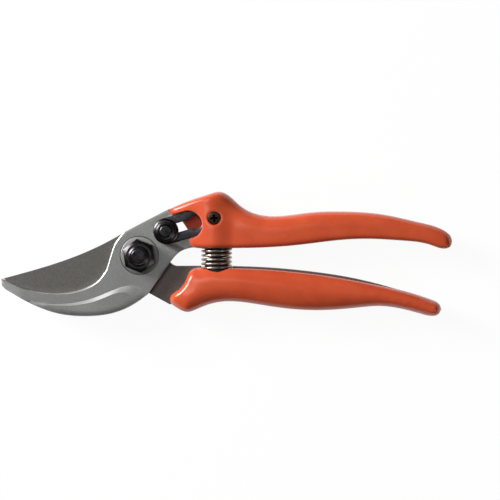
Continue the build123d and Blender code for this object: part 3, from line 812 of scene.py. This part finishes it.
def lower_front_face(xy):
    """The lower grip's front."""
    return np.maximum(GRIP_THICK - lower_drops(xy), PART_LOWER + LEAST_WALL)


def lower_rear_face(xy):
    """The lower grip's back, with a flat pad for each of its screws."""
    drop = lower_drops(xy)
    for centre in LOWER_SCREWS:
        drop = flat_pad(drop, xy, centre, LOWER_END)
    return np.minimum(drop, PART_LOWER - LEAST_WALL)


lower_front = relief(
    "lower_front_shell", lower_outline, lower_front_face, seat(blade_tang, LOWER_SEATS[1], PART_LOWER),
    "orange_nylon", BLADE_BODY, "lower_grip_front")
lower_rear = relief(
    "lower_rear_shell", lower_outline, seat(blade_tang, LOWER_SEATS[0], PART_LOWER), lower_rear_face,
    "orange_nylon", BLADE_BODY, "lower_grip_rear",
    holes=[circle(centre, SCREW_HOLE_R) for centre in LOWER_SCREWS])
for shell in (upper_front, upper_rear):
    cut(shell, *pocket(*UPPER_POCKET))
for shell in (lower_front, lower_rear):
    cut(shell, *pocket(*LOWER_POCKET))


# ---- the counter-blade: hook, neck and tang in one forging ----

JAW_REAR = 10.0
JAW_FRONT = 14.8
TANG_FRONT = 13.1
TRACK_FLOOR = 12.3
WASHER_SEAT = 13.4

# The thick head falls to the thin tang in this direction, from this far past the pivot.
FALL_TURN = math.radians(64)
FALL_START = 8.6

# The lock's track: its radius, its two ends along the slide, and its back's height.
TRACK_R = 6.2
TRACK = (0.2, 14.8)
TRACK_BACK = 12.35

# The slot's round ends. The keyhole's arc runs between the slot's sides, in degrees.
SLOT_R = 2.2
KEYHOLE_R = 3.15
KEYHOLE_ARC = (240.2, 511.6)

# Each recess's wall leans out by this much, and its floor ends within the wall.
WALL = 0.05
TRACK_FLOOR_R = 6.23
WASHER_R = 9.2
WASHER_FLOOR_R = 9.23
BORE_R = 4.12

jaw = smooth((-63.6, -12.4), (-55, -15.4), (-39, -17.8), (-26.3, -15.7), (-19, -11.2), (-15.7, -6.9))
neck = smooth((-15.7, -6.9), (-13.7, -0.3), (-11.3, 6.0), (-7.6, 10.7))
back = smooth((3.9, -18.5), (-2.7, -23.2), (-14.1, -27.8), (-23.6, -28.9), (-40.7, -27.2), (-54.9, -21.3))
tang_low = smooth(
    (143, 6.8), (141, 5.9), (130, 8.0), (109.7, 8.5), (90, 7.2), (66.9, 4.9), (40, 4.0), (24.7, 3.6))
counter_outline = join(
    straight((-65.6, -11.3), (-63.6, -12.4)), jaw, neck,
    smooth((-7.6, 10.7), (0.4, 14.9), (14, 21.9)),
    tang_top, tang_low,
    smooth((24.7, 3.6), (19.4, 1.8), (14.5, -3.4)), straight((14.5, -3.4), (3.9, -18.5)), back,
    straight((-54.9, -21.3), (-63.9, -16)), straight((-63.9, -16), (-65.4, -14.3)),
    straight((-65.4, -14.3), (-65.6, -11.3)))

# The foot and the ridge of the step up to the thick back, at places along the hook.
STEP_X = np.array([-52, -46.1, -40.4, -32.8, -28.1, -23.3, -18.6, -13.8, -9.1, -5, -1, 3])
STEP_FOOT = np.array([-22.2, -22.9, -23.15, -22.7, -21.9, -20.7, -19.0, -17.0, -15.2, -14.4, -15.0, -17.0])
STEP_RIDGE = STEP_FOOT - np.array([0.2, 0.35, 0.6, 1.1, 1.4, 1.65, 1.8, 1.85, 2.3, 3.5, 5.0, 6.5])
STEP_HEIGHT = np.array([0.07, 0.13, 0.22, 0.42, 0.6, 0.8, 0.9, 0.92, 0.9, 0.85, 0.75, 0.6])
step_xs = np.linspace(STEP_X[0], STEP_X[-1], 84)
step_foot = np.stack([step_xs, np.interp(step_xs, *smooth(*zip(STEP_X, STEP_FOOT)).T)], 1)
step_ridge = np.stack([step_xs, np.interp(step_xs, *smooth(*zip(STEP_X, STEP_RIDGE)).T)], 1)


def step_at(x):
    """The y of the step's foot and of its ridge at x."""
    return np.interp(x, *step_foot.T), np.interp(x, *step_ridge.T)


def slot_hole():
    """The lock's slot with its round keyhole end."""
    return join(near_end(SLOT_R, SLOT[0]), arc(LOCK + SLOT[1] * SLIDE, KEYHOLE_R, *KEYHOLE_ARC))


track_line = np.stack([LOCK + TRACK[0] * SLIDE, LOCK + TRACK[1] * SLIDE])


def counter_front(xy):
    """The forging's front, with its step, its bevel, and the seats of the washer and the track."""
    x, y = xy[:, 0], xy[:, 1]
    from_pivot = x * math.cos(FALL_TURN) + y * math.sin(FALL_TURN)
    along = y * math.cos(FALL_TURN) - x * math.sin(FALL_TURN)
    width = 4.4 + 12.2 * ease(along, -10.5, -2)
    z = JAW_FRONT - (JAW_FRONT - TANG_FRONT) * ease(from_pivot, FALL_START, FALL_START + width)
    foot, ridge = step_at(x)
    z += np.interp(x, STEP_X, STEP_HEIGHT) * np.clip((foot - y) / (foot - ridge), 0, 1)
    d_back = distance(xy, back)
    z -= rounding(d_back, 2.8, 0.55 * ease(x, -52, -30) * (1 - 0.7 * ease(x, -14, 4)), 1.8)
    z -= rounding(distance(xy, counter_outline, True), 0.35, 0.3 - 0.24 * ease(y, -12, -8))
    z -= 0.1 * np.maximum(-56.5 - x, 0)
    z -= (0.16 + 0.46 * ease(x, -32, -18)) * (bevel_width(xy) - edge_distance(xy)).clip(0)
    z = np.where(np.hypot(x, y) < WASHER_FLOOR_R, WASHER_SEAT, z)
    return np.where(distance(xy, track_line) < TRACK_FLOOR_R, TRACK_FLOOR, z)


def edge_distance(xy):
    """How far each point is from the hook's inner edge."""
    return np.minimum(distance(xy, jaw), distance(xy, neck))


def bevel_width(xy):
    """The bright bevel along the hook's inner edge narrows at the tip and up the neck."""
    along = ease(xy[:, 0], -66, -45)
    return 0.3 + 0.4 * along * (1 - 0.6 * ease(xy[:, 1], -14.5, -6))


def offset(line, by):
    """A line moved sideways, to its right, by a distance for each point."""
    forward = np.gradient(line, axis=0)
    side = np.stack([forward[:, 1], -forward[:, 0]], 1) / np.linalg.norm(forward, axis=1)[:, None]
    return line + side * np.asarray(by)[:, None]


def level(height):
    """A flat face at this height."""
    return lambda xy: np.full(len(xy), height)


hook_line = join(jaw, neck)
counter = relief(
    "counter_blade_forging", counter_outline, counter_front, level(JAW_REAR),
    "bead_blasted_steel", COUNTER_BODY, "counter_blade",
    holes=[slot_hole(), circle((0, 0), BORE_R), circle(HEAD_SCREW, TANG_HOLE_R),
           circle(END_SCREW, TANG_HOLE_R)],
    creases=[closed(circle((0, 0), WASHER_R + WALL)), closed(circle((0, 0), WASHER_R)),
             closed(slot_loop(TRACK_R + WALL, *TRACK)), closed(slot_loop(TRACK_R, *TRACK)),
             offset(hook_line, bevel_width(hook_line))[3:-3], step_foot, step_ridge],
    rings=(0.12, 0.3, 0.55), pitch=0.9, sharp=28.0)
cut(counter, *pocket(*UPPER_POCKET))


def mark_ground(obj):
    """Marks the hook's ground bevel, and the step's flank, whose lighter colour there is a painted highlight.
    """
    mesh = obj.data
    centres = np.array([p.center[:2] for p in mesh.polygons]) / MM
    upward = np.array([p.normal.z for p in mesh.polygons])
    x, y = centres.T
    foot, ridge = step_at(x)
    flank = (y < foot) & (y > ridge)
    bevel = edge_distance(centres) < bevel_width(centres)
    # On the step's flank the lighter colour is a painted highlight, faded along x where the lit band fades.
    share = np.where(flank, ease(x, -52, -30) * (1 - ease(x, -10, -2)), 0.0)
    share = np.where(bevel, 1.0, share) * (upward > 0.3)
    mesh.attributes.new("ground", "FLOAT", "CORNER")
    totals = [p.loop_total for p in mesh.polygons]
    mesh.attributes["ground"].data.foreach_set("value", np.repeat(share, totals).astype(np.float32))
    # The border of the ground bevel and of the painted highlight is a crisp edge.
    around = np.zeros(len(mesh.edges), int)
    np.add.at(around, [corner.edge_index for corner in mesh.loops], np.repeat(share > 0.3, totals))
    for edge, bright in zip(mesh.edges, around):
        if bright == 1:
            edge.use_edge_sharp = True


mark_ground(counter)

# ---- pivot hardware and lock ----

HEX_FLATS = 14.0
NUT_TOP = 20.8
CHAMFER_R = 6.0

# The direction that one of the nut's flats faces.
NUT_TURN = math.radians(68.0)


def turned(name, profile, finish, body, node, round_by, centre=(0.0, 0.0), count=64):
    """A lathe-turned piece about Z, from its (radius, height) profile, in place of a node."""
    vertices, faces = lathe(rounded(profile, round_by), count, centre)
    to_object(name, vertices, faces, finish, body, 50.0, node)


def hexagon(radius, angle):
    """A ring's radius held inside the hexagon's flats."""
    reach = (HEX_FLATS / 2) / math.cos((angle - NUT_TURN + math.pi / 6) % (math.pi / 3) - math.pi / 6)
    return min(radius, reach)


corner = HEX_FLATS / 2 / math.cos(math.pi / 6)
chamfer = [(r, NUT_TOP - 0.5 * (r - CHAMFER_R)) for r in np.linspace(corner, CHAMFER_R, 9)]
nut_profile = [(4.2, 14.82), (corner, 14.82), *chamfer, (4.85, NUT_TOP), (4.85, 21.15), (4.15, 21.58),
               (4.1, 21.5), (4.1, 21.2)]
to_object("hex_nut", *lathe(nut_profile, 144, shape=hexagon, start=NUT_TURN + math.pi / 6),
          "black_oxide_steel", COUNTER_BODY, 24.0, "pivot_nut")
turned("locking_ring", [(3.7, 19.2), (4.08, 19.2), (4.08, 21.3), (3.9, 21.35), (3.7, 21.3)],
       "black_nylon", COUNTER_BODY, "nut_locking_ring", round_by=0.05)
turned("pivot_screw",
       [(0.02, 0.25), (5.0, 0.25), (6.9, 0.0), (7.4, 0.0), (8.0, 0.7), (8.0, 5.2), (7.7, 5.6),
        (4.0, 5.6), (4.0, 19.0), (3.65, 19.1), (3.65, 21.6), (3.2, 21.88), (2.9, 21.9), (0.02, 21.9)],
       "black_oxide_steel", COUNTER_BODY, "pivot_bolt", round_by=0.18, count=96)
turned("flush_washer",
       [(BORE_R, 13.42), (8.95, 13.42), (8.95, JAW_FRONT), (BORE_R, JAW_FRONT)],
       "bead_blasted_steel", COUNTER_BODY, "pivot_front_washer", round_by=0.3, count=96)
turned("lock_button",
       [(2.2, 13.5), (5.8, 13.5), (5.95, 13.8), (5.95, 15.35), (5.15, 15.8), (4.8, 15.85),
        (4.75, 17.5), (4.55, 17.75), (3.85, 18.1), (3.5, 18.1), (3.4, 17.7), (3.4, 17.15), (2.7, 17.1)],
       "black_oxide_steel", LOCK_BODY, "lock_knob", round_by=0.08, centre=LOCK, count=96)
turned("lock_rivet",
       [(0.02, 7.5), (2.6, 7.5), (2.9, 7.8), (2.9, 9.6), (2.75, 9.84), (2.1, 9.84), (2.1, 17.12),
        (3.05, 17.12), (3.05, 17.7), (2.55, 17.98), (2.2, 18.0), (0.02, 18.0)],
       "black_oxide_steel", LOCK_BODY, "lock_stud", round_by=0.08, centre=LOCK)


def track_front(xy):
    """The track's front, level with the tang's and eased at its edges."""
    edge = np.minimum(distance(xy, slot_loop(TRACK_R, *TRACK), True), distance(xy, slot_hole(), True))
    return TANG_FRONT - rounding(edge, 0.3, 0.22)


track = relief(
    "lock_track", slot_loop(TRACK_R, *TRACK), track_front, level(TRACK_BACK), "dark_coated_steel",
    COUNTER_BODY, "lock_track_plate", holes=[slot_hole()], rings=(0.06, 0.14, 0.3, 0.7), pitch=1.2)
track.data.materials[0] = track_steel()

# ---- grip screws ----

# How far the rear screws' heads are sunk below the faces round them.
HEAD_SUNK = 0.3


def recess_bar(low, high, turn):
    """One bar of a screw's cross recess, narrower at its foot."""
    half_x, half_y, foot_share = 1.9, 0.55, 0.7
    c, s = math.cos(turn), math.sin(turn)
    vertices = []
    for z, k in ((low, foot_share), (high, 1.0)):
        for side_x, side_y in CORNERS:
            x, y = side_x * half_x * k, side_y * half_y * k
            vertices.append((x * c - y * s, x * s + y * c, z))
    faces = [(3, 2, 1, 0), (4, 5, 6, 7), (0, 1, 5, 4), (1, 2, 6, 5), (2, 3, 7, 6), (3, 0, 4, 7)]
    return vertices, faces


def grip_screw(name, centre, head_z, tip_z, body, node=None):
    """A countersunk cross-head screw; its head is at head_z, in front or behind."""
    up = 1 if head_z > tip_z else -1
    long = abs(head_z - tip_z)
    profile = [(0.02, 0.0), (1.5, 0.0), (1.95, 0.5), (1.95, long - 2.4), (3.05, long - 0.55),
               (3.05, long - 0.2), (2.75, long), (0.02, long + 0.05)]
    vertices, faces = lathe(rounded(profile, 0.12), 48)
    obj = to_object(name, vertices, faces, "black_oxide_steel", None, 35.0, node)
    obj.data.materials[0] = browned_steel
    obj.data.materials.append(recess_shade)
    # The recess's cut faces take the near-black finish in slot 1, which is painted shade.
    for quarter in (0, 1):
        cut(obj, *recess_bar(long - 2.2, long + 0.3, math.radians(5 + 90 * quarter)), slot=1)
    obj.data.transform(Matrix.Translation(Vector((*centre, tip_z)) * MM) @ Matrix.Diagonal((1, up, up, 1)))
    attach(obj, body)


browned_steel = browned_screw_steel()
recess_shade = recess_painted_shade()
end_head = float(thinning(END_SCREW[0], UPPER_END)) + HEAD_SUNK
low_heads = [float(thinning(x, LOWER_END)) + HEAD_SUNK for x, y in LOWER_SCREWS]
grip_screw("head_screw", HEAD_SCREW, 18.3, 4.9, COUNTER_BODY, "upper_grip_screw")
grip_screw("end_screw", END_SCREW, end_head, 15.4, COUNTER_BODY, "upper_end_screw")
# The two lower screws share one CAD node, and so do their inserts: the near one takes its place.
grip_screw("lower_screw_near", LOWER_SCREWS[0], low_heads[0], 14.9, BLADE_BODY, "lower_grip_screws")
grip_screw("lower_screw_far", LOWER_SCREWS[1], low_heads[1], 14.9, BLADE_BODY)


def grip_insert(name, centre, low, high, body, node=None):
    """A brass tube that holds a grip screw's end."""
    profile = [(2.0, low), (2.9, low), (2.9, high), (2.0, high)]
    vertices, faces = lathe(rounded([*profile, profile[0]], 0.15), 48, centre)
    to_object(name, vertices, faces, "brass", body, 50.0, node)


grip_insert("head_insert", HEAD_SCREW, 5.0, 9.9, COUNTER_BODY, "upper_grip_insert")
grip_insert("end_insert", END_SCREW, 13.2, 14.9, COUNTER_BODY, "upper_end_insert")
grip_insert("near_insert", LOWER_SCREWS[0], 10.0, 14.5, BLADE_BODY, "lower_grip_inserts")
grip_insert("far_insert", LOWER_SCREWS[1], 10.0, 13.4, BLADE_BODY)

# ---- return spring, its cups and bumpers ----

SPRING_R = 6.83
WIRE_R = 0.6
SPRING_TURNS = 11
SPRING_LOW, SPRING_HIGH = -12.3, 9.7
SPRING_PHASE = math.pi
STEPS_PER_TURN = 40
WIRE_SIDES = 14

# This share of the wire, at each end, has its end's weight, one or nought, with no change along it.
HELD_SHARE = 0.1


def along_y(vertices):
    """Turns a piece made about Z so that it stands on the spring's axis."""
    return [(SPRING_X + x, z, SPRING_Z - y) for x, y, z in vertices]


def spring_mesh():
    """The coil's vertices and faces, and a weight for each vertex, from one at its low end to nought at its
    high end.
    """
    steps, sides = SPRING_TURNS * STEPS_PER_TURN, WIRE_SIDES
    height = SPRING_HIGH - SPRING_LOW
    lead = height / (2 * math.pi * SPRING_TURNS * SPRING_R)
    vertices, weights = [], []
    for i in range(steps + 1):
        s = i / steps
        a = 2 * math.pi * SPRING_TURNS * s + SPRING_PHASE
        centre = Vector((SPRING_R * math.cos(a), SPRING_R * math.sin(a), SPRING_LOW + height * s))
        ahead = Vector((-math.sin(a), math.cos(a), lead)).normalized()
        out = Vector((math.cos(a), math.sin(a), 0.0))
        up = ahead.cross(out)
        for j in range(sides):
            b = 2 * math.pi * j / sides
            vertices.append(tuple(centre + WIRE_R * (math.cos(b) * out + math.sin(b) * up)))
            weights.append(1 - min(max((s - HELD_SHARE) / (1 - 2 * HELD_SHARE), 0.0), 1.0))
    faces = []
    for i in range(steps):
        for j in range(sides):
            k = (j + 1) % sides
            faces.append((i * sides + j, (i + 1) * sides + j, (i + 1) * sides + k, i * sides + k))
    faces.append(tuple(range(sides)))
    faces.append(tuple(steps * sides + j for j in range(sides - 1, -1, -1)))
    return vertices, faces, weights


coil, coil_faces, coil_weights = spring_mesh()
spring = to_object("spring_coil", along_y(coil), coil_faces, "spring_steel", None, 60.0, "return_spring")
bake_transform(spring)


def spring_piece(name, profile, finish, body, node, round_by):
    """A round piece on the spring's axis, from its (radius, y) profile."""
    vertices, faces = lathe(rounded(profile, round_by), 72)
    to_object(name, along_y(vertices), faces, finish, body, 50.0, node)


spring_piece(
    "upper_cup",
    [(0.02, 11.0), (7.5, 11.0), (7.9, 10.6), (7.9, 3.1), (7.45, 3.1), (7.45, 10.2), (0.02, 10.2)],
    "black_nylon", COUNTER_BODY, "upper_spring_cup", 0.15)
spring_piece(
    "lower_cup",
    [(0.02, -13.6), (7.5, -13.6), (7.9, -13.2), (7.9, -7.3), (7.45, -7.3), (7.45, -12.8), (0.02, -12.8)],
    "black_nylon", BLADE_BODY, "lower_spring_cup", 0.15)
spring_piece(
    "upper_stop", [(0.02, 10.2), (5.7, 10.2), (5.7, 0.9), (4.4, -1.25), (0.02, -1.25)],
    "black_rubber", COUNTER_BODY, "upper_bumper", 0.6)
spring_piece(
    "lower_stop", [(0.02, -12.8), (5.7, -12.8), (5.7, -3.7), (3.8, -1.55), (0.02, -1.55)],
    "black_rubber", BLADE_BODY, "lower_bumper", 0.6)


# ---- floor, light, camera ----

def pale_floor():
    """A matt white floor that stays white to the eye and keeps a faint shadow."""
    m = blank("pale_floor")
    path = add(m, "ShaderNodeLightPath")
    seen = add(m, "ShaderNodeMath",
               {0: path.outputs["Is Camera Ray"], 1: path.outputs["Is Glossy Ray"]}, operation="MAXIMUM")
    also = add(m, "ShaderNodeMath",
               {0: seen.outputs[0], 1: path.outputs["Is Transmission Ray"]}, operation="MAXIMUM")
    share = add(m, "ShaderNodeMath", {0: also.outputs[0], 1: 0.9}, operation="MULTIPLY")
    matt = add(m, "ShaderNodeBsdfDiffuse", {"Color": linear("#dcdcdc")})
    white = add(m, "ShaderNodeEmission", {"Color": (1, 1, 1, 1), "Strength": 1.045})
    mixed = add(m, "ShaderNodeMixShader", {0: share.outputs[0], 1: matt.outputs[0], 2: white.outputs[0]})
    add(m, "ShaderNodeOutputMaterial", {"Surface": mixed.outputs[0]})
    return m


FLOOR_HALF = 3.0
floor_mesh = bpy.data.meshes.new("floor")
floor_mesh.from_pydata([(x * FLOOR_HALF, y * FLOOR_HALF, 0) for x, y in CORNERS], [], [(0, 1, 2, 3)])
floor = bpy.data.objects.new("floor", floor_mesh)
floor_mesh.materials.append(pale_floor())
bpy.context.scene.collection.objects.link(floor)

world = bpy.data.worlds.new("soft_room")
world.use_nodes = True
background = world.node_tree.nodes["Background"].inputs
background["Color"].default_value = (1, 1, 1, 1)
background["Strength"].default_value = 0.045
bpy.context.scene.world = world

LAMP_TARGET = Vector((0.045, 0.0, 0.01))


def lamp(name, place, size, power):
    """A square lamp that faces the target; sizes are in metres and power in watts."""
    data = bpy.data.lights.new(name, "AREA")
    data.size = size
    data.energy = power
    obj = bpy.data.objects.new(name, data)
    obj.location = place
    obj.rotation_euler = (LAMP_TARGET - Vector(place)).to_track_quat("-Z", "Y").to_euler()
    bpy.context.scene.collection.objects.link(obj)


lamp("side_lamp", (-0.78, 0.44, 0.44), 0.4, 15.8)
lamp("high_lamp", (-0.21, 0.23, 0.95), 0.4, 1.4)
lamp("fill_lamp", (0.60, -0.45, 0.48), 0.35, 0.8)

TILT = math.radians(3.6)
SIGHT = Vector((52.4, 2.4, 12.0)) * MM
EYE_DISTANCE = 0.906
camera_data = bpy.data.cameras.new("camera")
camera_data.sensor_width = 36.0
camera_data.lens = 137.3
camera = bpy.data.objects.new("camera", camera_data)
camera.location = SIGHT + EYE_DISTANCE * Vector((0.0, math.sin(TILT), math.cos(TILT)))
camera.rotation_euler = Euler((-TILT, 0.0, 0.0))
bpy.context.scene.collection.objects.link(camera)
bpy.context.scene.camera = camera
bpy.context.scene.view_settings.view_transform = "Standard"
